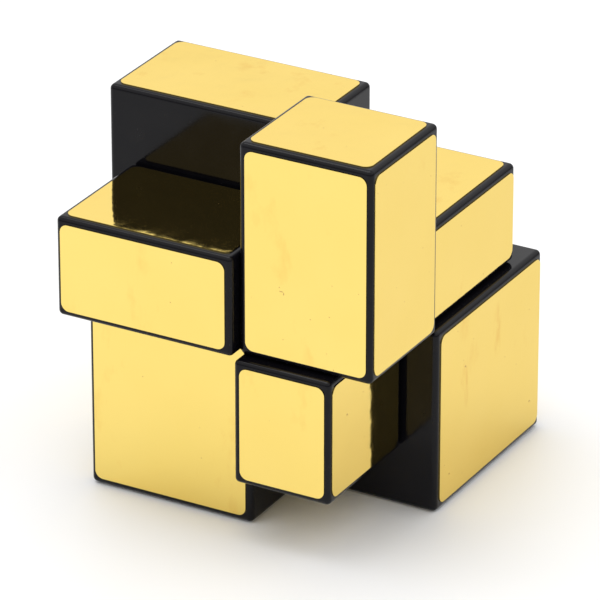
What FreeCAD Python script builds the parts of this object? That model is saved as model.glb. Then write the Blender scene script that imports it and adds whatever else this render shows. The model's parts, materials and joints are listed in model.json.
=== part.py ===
import FreeCAD, Part
import math
import os

# Eight-block mirror puzzle cube, shown part way through a scramble.
# Eight cuboid blocks of different size meet at one point, the mechanism centre. Every block
# is black plastic with a gold foil on each of its three outward faces. Inside is a small ball
# mechanism: a screwed core, six sprung caps, twelve loose edge pieces and a foot under each
# block. All sliding faces are either centred spheres or planes square to the axes, so any of
# the six layers can turn by any angle.
# Lengths are in millimetres. +Z is up and -Y is the front.

V = FreeCAD.Vector

# ---- block sizes -------------------------------------------------------------------------
solved_side = 50.0                       # side of the cube when it is solved
thin = {"a": 16.2, "b": 22.0, "c": 20.2}  # thinner layer of each of the three directions
thick = {key: solved_side - size for key, size in thin.items()}

# ---- visible shells and foils ------------------------------------------------------------
seam_gap = 0.1           # from the cut plane to a block face, so blocks sit 0.2 apart
wall = 1.5               # shell wall
edge_radius = 0.8        # rounding of every block edge
foil_thickness = 0.15
foil_inset = 1.0         # black border left round each foil
upright_inset = 0.8      # on the side faces, narrower beside the free upright edges
seam_inset = 1.1         # on the side faces, wider beside the upright seams
foil_corner = 1.3        # corner radius of a foil

# ---- hidden ball mechanism ---------------------------------------------------------------
clearance = 0.15         # from a parting surface to the piece on either side of it
core_radius = 6.2        # parting sphere between the core and the feet
foot_radius = 9.0        # parting sphere between the feet and the heads
ball_radius = 14.75      # parting sphere between the heads and the blocks
head_cut = 3.9           # cut planes through the heads, measured from the centre
foot_cut = 2.2           # cut planes through the feet, closer in so the feet are trapped
cover_thickness = 1.4    # spherical cover that closes a block towards the ball

# ---- screws, washers and springs ---------------------------------------------------------
core_flat = 5.6          # seat of each cap stem on the core
stem_radius = 2.0
stem_bore = 1.25
pocket_radius = 3.0
pocket_floor = 10.3
screw_radius = 1.0
screw_tip = 2.2
screw_head_radius = 2.2
screw_head_height = 1.2
screw_top = 14.2
recess_width, recess_length, recess_depth = 0.6, 2.8, 0.7
washer_radius = 2.6
washer_thickness = 0.3
spring_wire = 0.4
spring_radius = 2.2      # centre line of the coil
spring_half_turns = 6

# ---- the scramble ------------------------------------------------------------------------
# Octant signs (x, y, z) of each block, then the layer thickness it shows along x, y and z.
# A letter picks the direction, 1 the thinner layer and 2 the thicker one.
BLOCKS = {
    "top_front_left": ((-1, -1, 1), ("c2", "b1", "a1")),
    "top_front_right": ((1, -1, 1), ("b1", "c1", "a2")),
    "top_back_left": ((-1, 1, 1), ("a2", "c1", "b2")),
    "top_back_right": ((1, 1, 1), ("c1", "b2", "a1")),
    "bottom_front_left": ((-1, -1, -1), ("b2", "a1", "c2")),
    "bottom_front_right": ((1, -1, -1), ("a1", "b1", "c1")),
    "bottom_back_left": ((-1, 1, -1), ("a2", "c2", "b2")),
    "bottom_back_right": ((1, 1, -1), ("b1", "a2", "c2")),
}
FACES = {
    "top": (0, 0, 1), "bottom": (0, 0, -1),
    "front": (0, -1, 0), "back": (0, 1, 0),
    "right": (1, 0, 0), "left": (-1, 0, 0),
}
EDGES = [
    ("top", "front"), ("top", "right"), ("top", "back"), ("top", "left"),
    ("bottom", "front"), ("bottom", "right"), ("bottom", "back"), ("bottom", "left"),
    ("front", "right"), ("front", "left"), ("back", "right"), ("back", "left"),
]


def extent(code):
    """Thickness of a layer from its code, such as a1 or c2."""
    return (thin if code[1] == "1" else thick)[code[0]]


def extents(name):
    return [extent(code) for code in BLOCKS[name][1]]


def reach(axis, sign):
    """Furthest distance any block reaches from the centre along one axis."""
    return max(extents(name)[axis] for name in BLOCKS if BLOCKS[name][0][axis] == sign)


# The part's origin is the middle of the bounding box, on the surface it stands on.
CENTRE = V((reach(0, -1) - reach(0, 1)) / 2, (reach(1, -1) - reach(1, 1)) / 2, reach(2, -1))


# ---- shared shapes, all built round the mechanism centre at (0, 0, 0) ---------------------
def box_between(low, high):
    size = [h - l for l, h in zip(low, high)]
    return Part.makeBox(*size, V(*low))


def octant_box(signs, near, far):
    """Box in one octant, from the distances `near` to the distances `far` along the axes."""
    low = [min(s * n, s * f) for s, n, f in zip(signs, near, far)]
    high = [max(s * n, s * f) for s, n, f in zip(signs, near, far)]
    return box_between(low, high)


def ball_layer(inner, outer):
    """Hollow ball between two radii."""
    return Part.makeSphere(outer).cut(Part.makeSphere(inner))


def cell(layer, cut):
    """One cell of space after cutting it at +cut and -cut along every axis.

    `layer` holds -1, 0 or 1 per axis. The clearance is taken off each cut face."""
    reach_out = 20.0
    spans = {-1: (-reach_out, -cut - clearance), 0: (-cut + clearance, cut - clearance),
             1: (cut + clearance, reach_out)}
    low, high = zip(*(spans[index] for index in layer))
    return box_between(low, high)


def footed_piece(layer, head_outer):
    """Head, neck and foot of one mechanism piece in the given layer of the ball."""
    head = cell(layer, head_cut).common(ball_layer(foot_radius + clearance, head_outer))
    foot = cell(layer, foot_cut).common(
        ball_layer(core_radius + clearance, foot_radius - clearance))
    neck = cell(layer, head_cut).common(cell(layer, foot_cut)).common(
        ball_layer(foot_radius - 2 * clearance, foot_radius + 2 * clearance))
    return head.fuse([foot, neck]).removeSplitter()


def turned_from_top(shape, face):
    """Copy a shape built along +Z so it points along the named face's direction."""
    turn = FreeCAD.Placement(V(0, 0, 0), FreeCAD.Rotation(V(0, 0, 1), V(*FACES[face])))
    copy = shape.copy()
    copy.Placement = turn.multiply(copy.Placement)
    return copy


def rounded_plate(low, high, axis):
    """Thin plate with its four short edges, the ones along `axis`, rounded."""
    plate = box_between(low, high)
    across = [e for e in plate.Edges if abs(abs(e.tangentAt(e.FirstParameter)[axis]) - 1) < 1e-6]
    return plate.makeFillet(foil_corner, across)


# ---- the blocks --------------------------------------------------------------------------
def block_cavity(name):
    signs = BLOCKS[name][0]
    far = [size - foil_thickness - wall for size in extents(name)]
    return octant_box(signs, [seam_gap + wall] * 3, far)


def block_shell(name):
    """Rounded hollow box, opened by the ball at the corner nearest the centre."""
    signs = BLOCKS[name][0]
    far = [size - foil_thickness for size in extents(name)]
    outside = octant_box(signs, [seam_gap] * 3, far)
    outside = outside.makeFillet(edge_radius, outside.Edges)
    return outside.cut(block_cavity(name)).cut(Part.makeSphere(ball_radius + clearance))


def block_foot(name):
    """Spherical cover glued inside the shell, with the stalk and trapped foot on it."""
    signs = BLOCKS[name][0]
    inside = ball_radius + clearance
    cover = block_cavity(name).common(ball_layer(inside, inside + cover_thickness))
    return footed_piece(signs, inside + 0.4).fuse(cover).removeSplitter()


def block_foils(name):
    """One foil on each of the three outward faces of a block."""
    signs, sizes = BLOCKS[name][0], extents(name)
    foils = []
    for axis in range(3):
        near_border = far_border = [foil_inset] * 3
        if axis < 2:
            near_border = [seam_inset] * 2 + [foil_inset]
            far_border = [upright_inset] * 2 + [foil_inset]
        near = [seam_gap + width for width in near_border]
        far = [size - foil_thickness - width for size, width in zip(sizes, far_border)]
        near[axis], far[axis] = sizes[axis] - foil_thickness, sizes[axis]
        low = [min(s * n, s * f) for s, n, f in zip(signs, near, far)]
        high = [max(s * n, s * f) for s, n, f in zip(signs, near, far)]
        foils.append(rounded_plate(low, high, axis))
    return Part.makeCompound(foils)


# ---- the mechanism -----------------------------------------------------------------------
def core():
    """Ball with a flat seat and a tapped hole for each of the six screws."""
    body = Part.makeSphere(core_radius - clearance)
    body = body.common(box_between([-core_flat] * 3, [core_flat] * 3))
    for face in FACES:
        hole = Part.makeCylinder(screw_radius, 10, V(0, 0, screw_tip))
        body = body.cut(turned_from_top(hole, face))
    return body


def cap():
    """Square-headed cap above the core, with a round stem and a pocket for its spring."""
    head = cell((0, 0, 1), head_cut).common(
        ball_layer(foot_radius + clearance, ball_radius - clearance))
    stem_foot = core_flat + clearance
    stem = Part.makeCylinder(stem_radius, pocket_floor - stem_foot, V(0, 0, stem_foot))
    pocket = Part.makeCylinder(pocket_radius, 10, V(0, 0, pocket_floor))
    bore = Part.makeCylinder(stem_bore, 30, V(0, 0, 0))
    return head.fuse(stem).removeSplitter().cut(pocket).cut(bore)


def screw():
    """Pan-head screw with a cross recess, pointing at the centre."""
    under_head = screw_top - screw_head_height
    shank = Part.makeCylinder(screw_radius, under_head - screw_tip, V(0, 0, screw_tip))
    head = Part.makeCylinder(screw_head_radius, screw_head_height, V(0, 0, under_head))
    rim = [e for e in head.Edges if e.Closed and e.CenterOfMass.z > screw_top - 1e-6]
    head = head.makeFillet(0.4, rim)
    slot = box_between([-recess_length / 2, -recess_width / 2, screw_top - recess_depth],
                       [recess_length / 2, recess_width / 2, screw_top + 1])
    cross = slot.copy()
    cross.rotate(V(0, 0, 0), V(0, 0, 1), 90)
    return shank.fuse(head).removeSplitter().cut(slot).cut(cross)


def washer():
    top = screw_top - screw_head_height
    ring = Part.makeCylinder(washer_radius, washer_thickness, V(0, 0, top - washer_thickness))
    return ring.cut(Part.makeCylinder(screw_radius, 30))


def spring():
    """Coil spring between the pocket floor of a cap and the washer under the screw head.

    Each half turn is a half ring tilted by the pitch. The ends of two half rings meet in the
    plane y = 0 and run on smoothly."""
    bottom = pocket_floor + clearance + spring_wire / 2
    top = screw_top - screw_head_height - washer_thickness - spring_wire / 2
    rise = (top - bottom) / spring_half_turns
    tilt = math.degrees(math.asin(rise / 2 / spring_radius))
    coil = []
    for k in range(spring_half_turns):
        half = Part.makeTorus(spring_radius, spring_wire / 2, V(0, 0, 0), V(0, 0, 1), 0, 360, 180)
        half.rotate(V(0, 0, 0), V(0, 1, 0), tilt)
        half.rotate(V(0, 0, 0), V(0, 0, 1), 180 * k)
        half.translate(V(0, 0, bottom + rise * (k + 0.5)))
        coil.append(half)
    return coil[0].fuse(coil[1:])


# ---- save every sub-part -----------------------------------------------------------------
def save(node, shape):
    shape = shape.copy()
    shape.translate(CENTRE)
    shape.exportStep("parts/" + node + ".step")


def six_times(shape):
    """The same small part in each of the six directions, as separate solids."""
    return Part.makeCompound([turned_from_top(shape, face) for face in FACES])


def main():
    os.makedirs("parts", exist_ok=True)
    save("core", core())
    save("screws", six_times(screw()))
    save("washers", six_times(washer()))
    save("springs", six_times(spring()))

    cap_shape = cap()
    for face in FACES:
        save("cap_" + face, turned_from_top(cap_shape, face))

    for first, second in EDGES:
        layer = [a + b for a, b in zip(FACES[first], FACES[second])]
        save("edge_%s_%s" % (first, second), footed_piece(layer, ball_radius - clearance))

    for name in BLOCKS:
        save("shell_" + name, block_shell(name))
        save("foot_" + name, block_foot(name))
        save("foils_" + name, block_foils(name))


main()
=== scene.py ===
import json
import math

import bpy
from mathutils import Matrix, Vector

# Scrambled mirror-block puzzle cube: gold foils on black glossy blocks, on a pale table in
# soft white light. The shapes are the CAD nodes; this script gives them their finish.

MM = 0.001

# Camera: where it stands as seen from the mechanism centre, and how far it is moved aside.
CAMERA_AZIMUTH, CAMERA_ELEVATION = 29.33, 25.68
CAMERA_DISTANCE = 826.3 * MM
CAMERA_LEFT, CAMERA_UP = 0.92 * MM, 0.29 * MM
CAMERA_LENS, CAMERA_SENSOR = 336.0, 36.0

# Surround: direction of its bright middle, then (cosine of the angle from it, brightness).
SURROUND_AZIMUTH, SURROUND_ELEVATION = -135, 83
SURROUND_STOPS = [(0.0, 0.2), (0.22, 0.68), (0.42, 1.0), (0.5, 1.18), (1.0, 1.18)]

# Soft lamps: name, azimuth, elevation, distance and side in metres, power in watts.
LAMPS = [("key", -60, 78, 0.55, 0.35, 0.95), ("side", 100, 54, 0.7, 0.4, 0.25)]

TABLE_HALF = 3.0  # half the side of the table top, in metres

# Wear marks on the foils: centre and half size, in millimetres in the frame at rest.
SMEARS = [((27.9, 13.2, 22.5), (1.0, 1.5, 5.0)), ((27.9, 3.4, 17.5), (1.0, 1.0, 4.0))]
SPECKS = [
    ((27.9, 3.0, 20.7), (0.3, 0.3, 0.22)), ((27.9, -1.8, 5.0), (0.3, 0.25, 0.2)),
    ((27.9, 24.1, 5.7), (0.3, 0.3, 0.2)), ((22.1, -22.7, 22.6), (0.3, 0.25, 0.2)),
    ((13.1, -26.1, 41.6), (0.42, 0.3, 0.13)), ((13.5, -26.1, 41.3), (0.13, 0.3, 0.3)),
]


def aim(location, right, up, back):
    """World matrix of a camera or lamp that looks along -back."""
    rows = Matrix((right, up, back)).transposed().to_4x4()
    rows.translation = location
    return rows


def view_axes(azimuth, elevation):
    """Right, up and backward directions of a view from that azimuth and elevation."""
    a, e = math.radians(azimuth), math.radians(elevation)
    back = Vector((math.sin(a) * math.cos(e), -math.cos(a) * math.cos(e), math.sin(e)))
    right = Vector((math.cos(a), math.sin(a), 0.0))
    return right, back.cross(right), back


def fill_ramp(node, stops):
    """Set the stops of a colour ramp node; each stop is (position, grey or colour)."""
    points = node.color_ramp.elements
    while len(points) < len(stops):
        points.new(0.5)
    for point, (where, colour) in zip(points, stops):
        point.position = where
        if isinstance(colour, (int, float)):
            colour = (colour, colour, colour)
        point.color = (*colour, 1.0)


# ---- materials ---------------------------------------------------------------------------
class Nodes:
    """Short way to build a node material on one principled shader."""

    def __init__(self, name):
        self.material = bpy.data.materials.new(name)
        self.material.use_nodes = True
        self.tree = self.material.node_tree
        self.shader = self.tree.nodes["Principled BSDF"]
        self.place = self.tree.nodes.new("ShaderNodeTexCoord").outputs["Object"]

    def set(self, **sockets):
        """Set shader sockets that have one value all over; _ stands for a space."""
        for name, value in sockets.items():
            self.shader.inputs[name.replace("_", " ")].default_value = value

    def link(self, output, target):
        self.tree.links.new(output, target)

    def noise(self, size, detail=3.0, roughness=0.5, stretch=(1, 1, 1)):
        """Noise whose lumps are about `size` metres across."""
        mapping = self.tree.nodes.new("ShaderNodeMapping")
        mapping.inputs["Scale"].default_value = stretch
        self.link(self.place, mapping.inputs["Vector"])
        node = self.tree.nodes.new("ShaderNodeTexNoise")
        node.inputs["Scale"].default_value = 1.0 / size
        node.inputs["Detail"].default_value = detail
        node.inputs["Roughness"].default_value = roughness
        self.link(mapping.outputs["Vector"], node.inputs["Vector"])
        return node.outputs["Fac"]

    def cells(self, size):
        """Distance to the nearest of many scattered points, about `size` metres apart."""
        node = self.tree.nodes.new("ShaderNodeTexVoronoi")
        node.inputs["Scale"].default_value = 1.0 / size
        self.link(self.place, node.inputs["Vector"])
        return node.outputs["Distance"]

    def mark(self, centre, size, solid=0.5):
        """1 in the middle of an ellipsoid at rest, fading to 0 at its edge (millimetres)."""
        vector = self.place
        for operation, values in (("SUBTRACT", centre), ("DIVIDE", size)):
            node = self.tree.nodes.new("ShaderNodeVectorMath")
            node.operation = operation
            node.inputs[1].default_value = [v * MM for v in values]
            self.link(vector, node.inputs[0])
            vector = node.outputs["Vector"]
        node = self.tree.nodes.new("ShaderNodeVectorMath")
        node.operation = "LENGTH"
        self.link(vector, node.inputs[0])
        return self.ramp(node.outputs["Value"], [(solid, 1.0), (1.0, 0.0)])

    def ramp(self, factor, stops):
        """Colour ramp driven by `factor`; see fill_ramp for the stops."""
        node = self.tree.nodes.new("ShaderNodeValToRGB")
        fill_ramp(node, stops)
        self.link(factor, node.inputs["Fac"])
        return node.outputs["Color"]

    def math(self, operation, a, b):
        """Math node; a and b are each a number or another node's output."""
        node = self.tree.nodes.new("ShaderNodeMath")
        node.operation = operation
        for socket, value in zip(node.inputs, (a, b)):
            if isinstance(value, (int, float)):
                socket.default_value = value
            else:
                self.link(value, socket)
        return node.outputs[0]

    def mix(self, factor, a, b):
        """Blend from a to b; each is a colour or another node's output."""
        node = self.tree.nodes.new("ShaderNodeMix")
        node.data_type = "RGBA"
        self.link(factor, node.inputs["Factor"])
        for socket, value in ((node.inputs[6], a), (node.inputs[7], b)):
            if isinstance(value, tuple):
                socket.default_value = (*value, 1.0)
            else:
                self.link(value, socket)
        return node.outputs[2]

    def bump(self, layers):
        """Stack bumps; each layer is (height, depth in metres, strength)."""
        normal = None
        for height, depth, strength in layers:
            node = self.tree.nodes.new("ShaderNodeBump")
            node.inputs["Strength"].default_value = strength
            node.inputs["Distance"].default_value = depth
            self.link(height, node.inputs["Height"])
            if normal is not None:
                self.link(normal, node.inputs["Normal"])
            normal = node.outputs["Normal"]
        self.link(normal, self.shader.inputs["Normal"])


def gold_foil():
    """Gold mirror film: slow ripples from the glue under it, faint smudges and dust."""
    deep_gold, light_gold = (0.92, 0.695, 0.19), (0.935, 0.71, 0.202)
    smudged_gold, dusty_gold = (0.87, 0.6, 0.155), (0.6, 0.41, 0.14)
    glancing_tint = (0.7, 0.64, 0.66, 1.0)
    m = Nodes("gold_foil")
    m.set(Metallic=1.0, Specular_Tint=glancing_tint)
    tone = m.ramp(m.noise(14 * MM, 2.0), [(0.3, deep_gold), (0.7, light_gold)])
    smudge = m.ramp(m.noise(6 * MM, 5.0, 0.6, (1, 1, 0.45)), [(0.6, 0.0), (0.78, 1.0)])
    dust = m.ramp(m.cells(2.6 * MM), [(0.025, 1.0), (0.045, 0.0)])
    streak = m.ramp(m.noise(1.1 * MM, 3.0, 0.6, (1, 1, 0.3)), [(0.4, 0.0), (0.65, 1.0)])
    for centre, size in SMEARS:
        smear = m.math("MULTIPLY", m.mark(centre, size, 0.0), streak)
        smudge = m.math("MAXIMUM", smudge, m.math("MULTIPLY", smear, 2.0))
    for centre, size in SPECKS:
        dust = m.math("MAXIMUM", dust, m.mark(centre, size))
    dull = m.mix(smudge, tone, smudged_gold)
    m.link(m.mix(dust, dull, dusty_gold), m.shader.inputs["Base Color"])
    fine = m.ramp(m.noise(2.2 * MM, 4.0), [(0.3, 0.035), (0.75, 0.07)])
    rough = m.math("ADD", fine, m.math("MULTIPLY", smudge, 0.05))
    m.link(m.math("ADD", rough, m.math("MULTIPLY", dust, 0.3)), m.shader.inputs["Roughness"])
    m.bump([
        (m.noise(8 * MM, 1.0, 0.4), 0.09 * MM, 0.5),
        (m.noise(2.2 * MM, 1.5, 0.45), 0.03 * MM, 0.5),
        (m.noise(0.6 * MM, 2.0), 0.0012 * MM, 0.35),
    ])
    return m.material


def black_plastic():
    """Glossy moulded ABS: near black, very slight orange peel, wear haze and dust."""
    clean_black, hazed_black = (0.0036, 0.0033, 0.005), (0.007, 0.0065, 0.0078)
    dust_grey = (0.05, 0.05, 0.05)
    m = Nodes("black_plastic")
    haze = m.ramp(m.noise(5 * MM, 5.0, 0.6), [(0.45, 0.0), (0.8, 1.0)])
    dust = m.ramp(m.cells(1.3 * MM), [(0.03, 1.0), (0.055, 0.0)])
    tone = m.mix(haze, clean_black, hazed_black)
    m.link(m.mix(dust, tone, dust_grey), m.shader.inputs["Base Color"])
    rough = m.ramp(m.noise(3 * MM, 4.0), [(0.3, 0.1), (0.75, 0.17)])
    m.link(m.math("ADD", rough, m.math("MULTIPLY", dust, 0.3)), m.shader.inputs["Roughness"])
    m.set(IOR=1.47, Specular_IOR_Level=0.2)
    m.bump([
        (m.noise(7 * MM, 1.0, 0.4), 0.02 * MM, 0.4),
        (m.noise(0.35 * MM, 2.0), 0.0015 * MM, 0.4),
    ])
    return m.material


def mechanism_plastic(name, dark, light):
    """Satin moulded plastic with a thin film of grease."""
    m = Nodes(name)
    m.link(m.ramp(m.noise(4 * MM, 5.0, 0.6), [(0.3, dark), (0.75, light)]),
           m.shader.inputs["Base Color"])
    m.link(m.ramp(m.noise(2 * MM, 4.0), [(0.3, 0.28), (0.75, 0.45)]),
           m.shader.inputs["Roughness"])
    m.bump([(m.noise(0.4 * MM, 3.0), 0.004 * MM, 0.5)])
    return m.material


def plated_steel():
    """Zinc-plated steel of the screws, washers and springs."""
    dull_zinc, bright_zinc = (0.5, 0.5, 0.5), (0.66, 0.66, 0.64)
    m = Nodes("steel")
    m.set(Metallic=1.0)
    m.link(m.ramp(m.noise(0.8 * MM, 5.0), [(0.3, dull_zinc), (0.75, bright_zinc)]),
           m.shader.inputs["Base Color"])
    m.link(m.ramp(m.noise(0.5 * MM, 4.0), [(0.3, 0.22), (0.75, 0.4)]),
           m.shader.inputs["Roughness"])
    m.bump([(m.noise(0.25 * MM, 3.0), 0.003 * MM, 0.4)])
    return m.material


def table_top():
    """Pale matt studio table."""
    shaded_white, clean_white = (0.83, 0.832, 0.842), (0.843, 0.846, 0.856)
    m = Nodes("table_white")
    m.link(m.ramp(m.noise(50 * MM, 3.0), [(0.3, shaded_white), (0.75, clean_white)]),
           m.shader.inputs["Base Color"])
    m.set(Roughness=0.55)
    m.bump([(m.noise(2 * MM, 3.0), 0.02 * MM, 0.3)])
    return m.material


# ---- stage -------------------------------------------------------------------------------
def add_floor():
    """Table top at height zero, which is where the puzzle stands."""
    mesh = bpy.data.meshes.new("table")
    s = TABLE_HALF
    mesh.from_pydata([(-s, -s, 0), (s, -s, 0), (s, s, 0), (-s, s, 0)], [], [(0, 1, 2, 3)])
    floor = bpy.data.objects.new("table", mesh)
    bpy.context.scene.collection.objects.link(floor)
    mesh.materials.append(table_top())


def add_area(name, azimuth, elevation, distance, side, power, target):
    """Square white lamp that looks at the target from that direction."""
    lamp = bpy.data.lights.new(name, "AREA")
    lamp.shape = "RECTANGLE"
    lamp.size = lamp.size_y = side
    lamp.energy = power
    lamp_object = bpy.data.objects.new(name, lamp)
    right, up, back = view_axes(azimuth, elevation)
    lamp_object.matrix_world = aim(target + back * distance, right, up, back)
    bpy.context.scene.collection.objects.link(lamp_object)


def add_world(azimuth, elevation, stops):
    """Plain studio surround, brightest round one direction and fading to the far side.

    Each stop is (cosine of the angle from that direction, brightness)."""
    world = bpy.data.worlds.new("studio")
    world.use_nodes = True
    tree = world.node_tree
    place = tree.nodes.new("ShaderNodeTexCoord")
    cosine = tree.nodes.new("ShaderNodeVectorMath")
    cosine.operation = "DOT_PRODUCT"
    cosine.inputs[1].default_value = view_axes(azimuth, elevation)[2]
    ramp = tree.nodes.new("ShaderNodeValToRGB")
    peak = max(level for _, level in stops)
    fill_ramp(ramp, [(where, level / peak) for where, level in stops])
    background = tree.nodes["Background"]
    background.inputs["Strength"].default_value = peak
    tree.links.new(place.outputs["Generated"], cosine.inputs[0])
    tree.links.new(cosine.outputs["Value"], ramp.inputs["Fac"])
    tree.links.new(ramp.outputs["Color"], background.inputs["Color"])
    bpy.context.scene.world = world


def add_camera(centre):
    """Long-lens camera that looks past the mechanism centre by a small offset."""
    camera = bpy.data.cameras.new("camera")
    camera.sensor_width = CAMERA_SENSOR
    camera.lens = CAMERA_LENS
    camera.clip_start, camera.clip_end = 0.05, 20.0
    camera_object = bpy.data.objects.new("camera", camera)
    right, up, back = view_axes(CAMERA_AZIMUTH, CAMERA_ELEVATION)
    spot = centre + back * CAMERA_DISTANCE - right * CAMERA_LEFT + up * CAMERA_UP
    camera_object.matrix_world = aim(spot, right, up, back)
    bpy.context.scene.collection.objects.link(camera_object)
    bpy.context.scene.camera = camera_object


# ---- build -------------------------------------------------------------------------------
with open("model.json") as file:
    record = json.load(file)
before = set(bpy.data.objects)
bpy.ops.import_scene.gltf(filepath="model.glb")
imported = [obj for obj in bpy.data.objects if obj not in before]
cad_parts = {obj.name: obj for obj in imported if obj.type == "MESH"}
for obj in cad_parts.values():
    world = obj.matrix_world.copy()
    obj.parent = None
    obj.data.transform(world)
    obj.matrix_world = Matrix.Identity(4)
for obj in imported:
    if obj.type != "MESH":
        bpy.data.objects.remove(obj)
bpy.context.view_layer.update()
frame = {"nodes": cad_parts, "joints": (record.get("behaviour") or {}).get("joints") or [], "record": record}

# One material for each material slot of the record; the two colours are dark and light.
finishes = {
    "gold_foil": gold_foil(),
    "black_plastic": black_plastic(),
    "mechanism_plastic": mechanism_plastic(
        "mechanism_plastic", (0.02, 0.02, 0.021), (0.045, 0.045, 0.046)),
    "core_plastic": mechanism_plastic("core_plastic", (0.5, 0.5, 0.48), (0.62, 0.62, 0.6)),
    "steel": plated_steel(),
}
for part in frame["record"]["subparts"]:
    node = frame["nodes"][part["node"]]
    for slot in node.material_slots:
        slot.material = finishes[part["material_slot"]]

# All hinges pass through the mechanism centre, so any joint's position gives it.
centre = Vector(frame["joints"][0]["pos_m"])
add_floor()
add_world(SURROUND_AZIMUTH, SURROUND_ELEVATION, SURROUND_STOPS)
for lamp in LAMPS:
    add_area(*lamp, centre)
add_camera(centre)
bpy.context.scene.view_settings.view_transform = "Standard"
